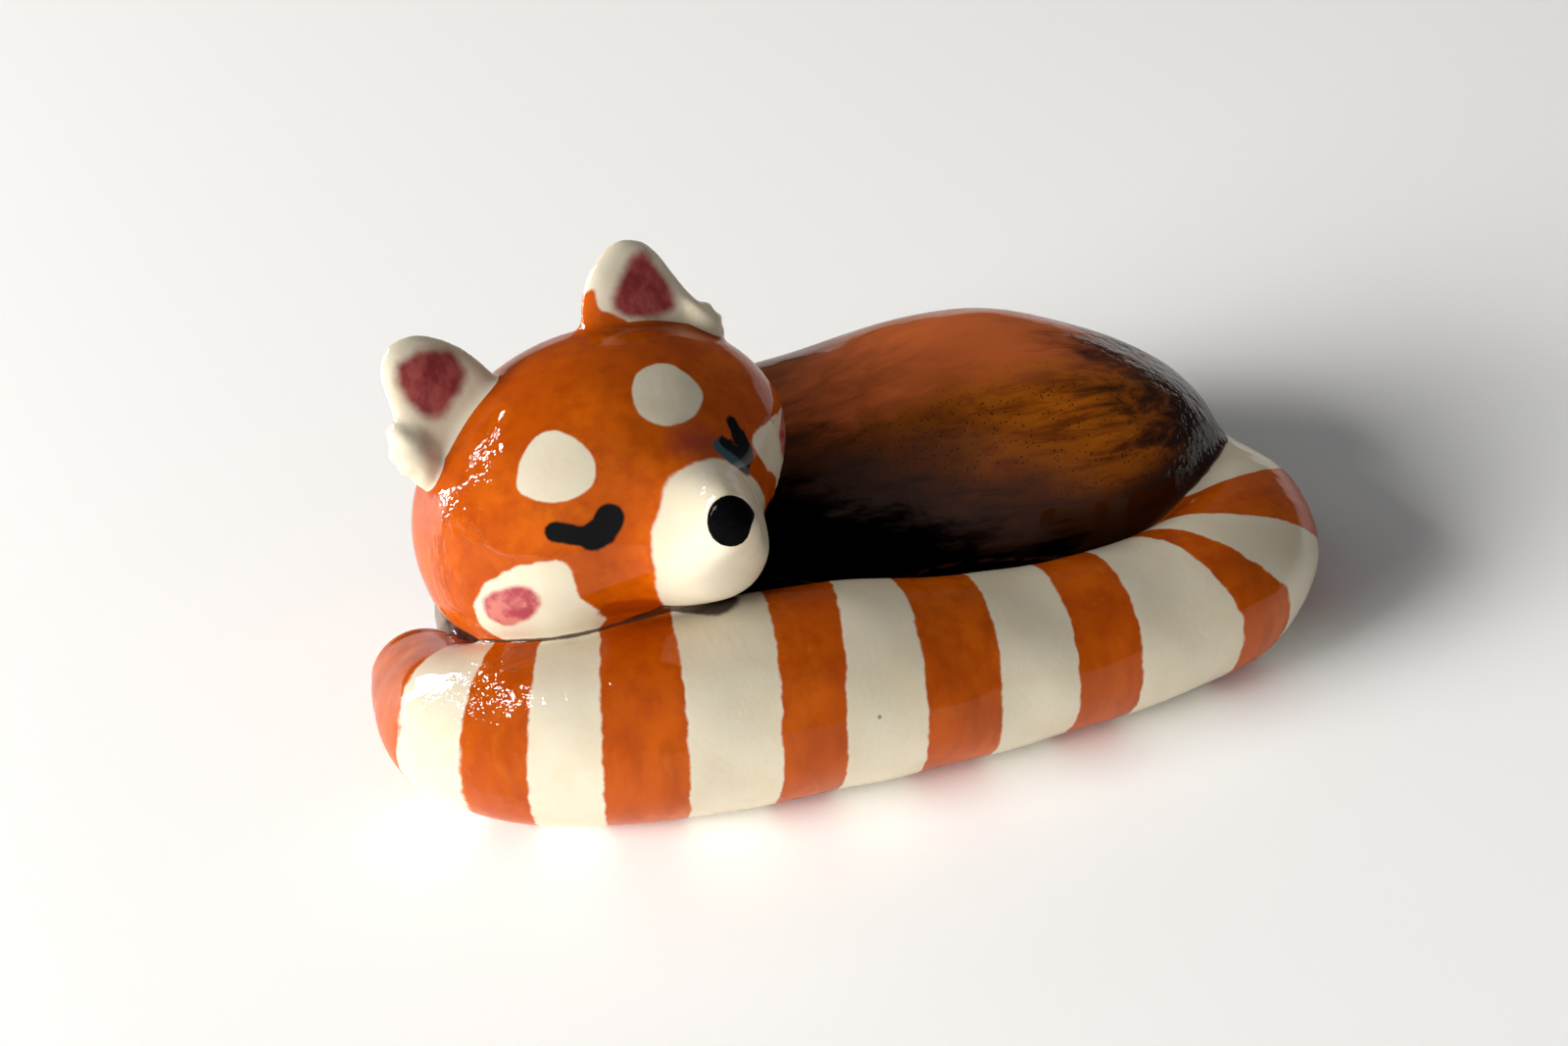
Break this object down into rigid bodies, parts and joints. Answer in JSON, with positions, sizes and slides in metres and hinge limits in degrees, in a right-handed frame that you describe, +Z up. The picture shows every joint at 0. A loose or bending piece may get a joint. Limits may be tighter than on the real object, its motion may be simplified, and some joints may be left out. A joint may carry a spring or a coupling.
{
  "type": "ceramic animal figurine",
  "caption": "Glazed ceramic figurine of a sleeping red panda, curled up with its head resting on a thick ringed tail that wraps round the front; stands on a flat base.",
  "frame": {"origin": "middle of the figurine's footprint, on the surface that it stands on", "axes": "+X along the tail's front stretch towards the rump, -Y the side that the animal faces, +Z up"},
  "size_m": [0.0896, 0.0553, 0.0396],
  "materials": {
    "brown_glaze": "glossy orange-brown glaze shaded to black",
    "orange_glaze": "glossy brushed orange glaze",
    "white_glaze": "glossy cream white glaze",
    "black_glaze": "glossy black glaze",
    "tail_glaze": "glossy orange and cream rings"
  },
  "bodies": {
    "root": {"body": "brown_glaze", "head": "orange_glaze", "snout": "white_glaze", "nose": "black_glaze", "left_ear": "white_glaze", "right_ear": "white_glaze", "left_ear_tuft": "white_glaze", "right_ear_tuft": "white_glaze", "tail": "tail_glaze", "left_forepaw": "black_glaze", "right_forepaw": "black_glaze", "hind_leg": "black_glaze"}
  },
  "joints": []
}
